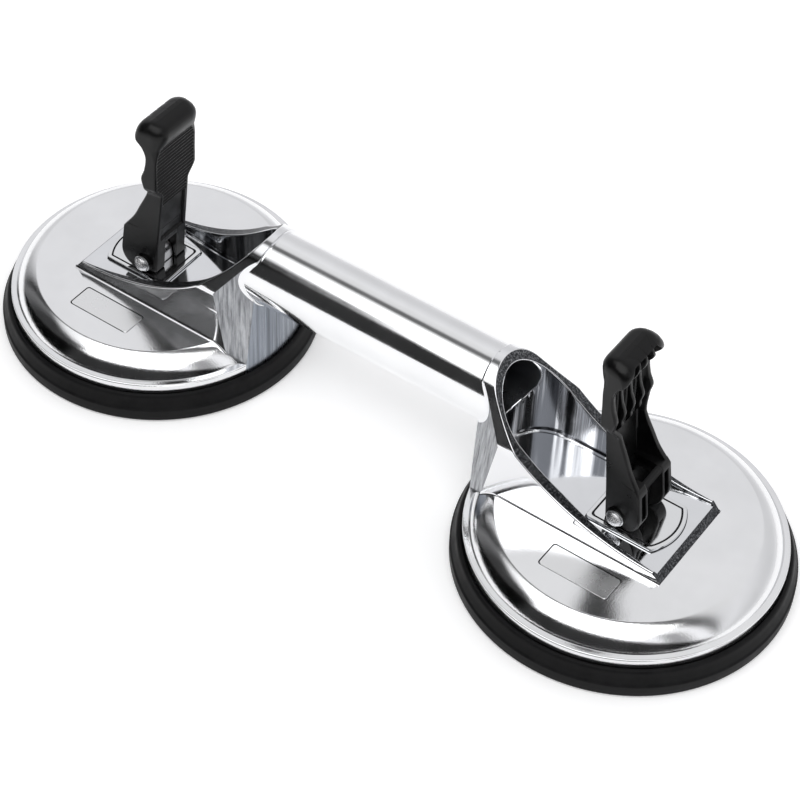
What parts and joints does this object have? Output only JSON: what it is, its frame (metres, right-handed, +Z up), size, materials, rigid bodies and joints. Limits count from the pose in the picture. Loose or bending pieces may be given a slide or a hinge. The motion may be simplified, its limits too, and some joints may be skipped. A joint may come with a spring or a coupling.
{
  "type": "twin-cup vacuum lifter",
  "caption": "Hand lifter with rubber suction pads under hooded aluminium castings, joined by a tube handle; black cam levers swing outwards to pull the pads' middles up.",
  "frame": {"origin": "on the floor under the middle of the handle tube, midway between the cups", "axes": "+X along the tube to the right cup, +Y to the back (the blank labels are on the -Y side), +Z up; the pads' sealing faces lie in Z = 0"},
  "size_m": [0.325, 0.12, 0.099],
  "materials": {
    "cast_metal": "polished and brushed",
    "tube_metal": "satin anodised",
    "polished_plate": "mirror polished",
    "label": "satin",
    "rubber": "satin",
    "plate_steel": "satin",
    "stem_steel": "machined",
    "zinc_steel": "zinc plated",
    "lever_plastic": "satin",
    "pin_metal": "polished"
  },
  "bodies": {
    "frame": {"handle_tube": "tube_metal", "left_casting": "cast_metal", "left_seat_plate": "polished_plate", "left_label_plate": "label", "left_rubber_pad": "rubber", "right_casting": "cast_metal", "right_seat_plate": "polished_plate", "right_label_plate": "label", "right_rubber_pad": "rubber"},
    "left_stem": {"left_pad_plate": "plate_steel", "left_pull_stem": "stem_steel", "left_stem_washer": "zinc_steel", "left_stem_nut": "zinc_steel"},
    "left_lever": {"left_lever": "lever_plastic", "left_pivot_pin": "pin_metal", "left_pin_washers": "pin_metal", "left_pin_cap": "pin_metal"},
    "right_stem": {"right_pad_plate": "plate_steel", "right_pull_stem": "stem_steel", "right_stem_washer": "zinc_steel", "right_stem_nut": "zinc_steel"},
    "right_lever": {"right_lever": "lever_plastic", "right_pivot_pin": "pin_metal", "right_pin_washers": "pin_metal", "right_pin_cap": "pin_metal"}
  },
  "joints": [
    {"name": "left_stem_slide", "type": "slide", "parent": "frame", "child": "left_stem", "axis": [0, 0, 1], "range_m": [0, 0.006]},
    {"name": "left_lever_hinge", "type": "hinge", "parent": "left_stem", "child": "left_lever", "pos_m": [-0.1025, 0, 0.03], "axis": [0, -1, 0], "range_deg": [0, 98]},
    {"name": "right_stem_slide", "type": "slide", "parent": "frame", "child": "right_stem", "axis": [0, 0, 1], "range_m": [0, 0.006]},
    {"name": "right_lever_hinge", "type": "hinge", "parent": "right_stem", "child": "right_lever", "pos_m": [0.1025, 0, 0.03], "axis": [0, 1, 0], "range_deg": [0, 98]}
  ],
  "couplings": [
    {"joint": "left_lever_hinge", "follows": "left_stem_slide", "rad_per_m": 285},
    {"joint": "right_lever_hinge", "follows": "right_stem_slide", "rad_per_m": 285}
  ]
}
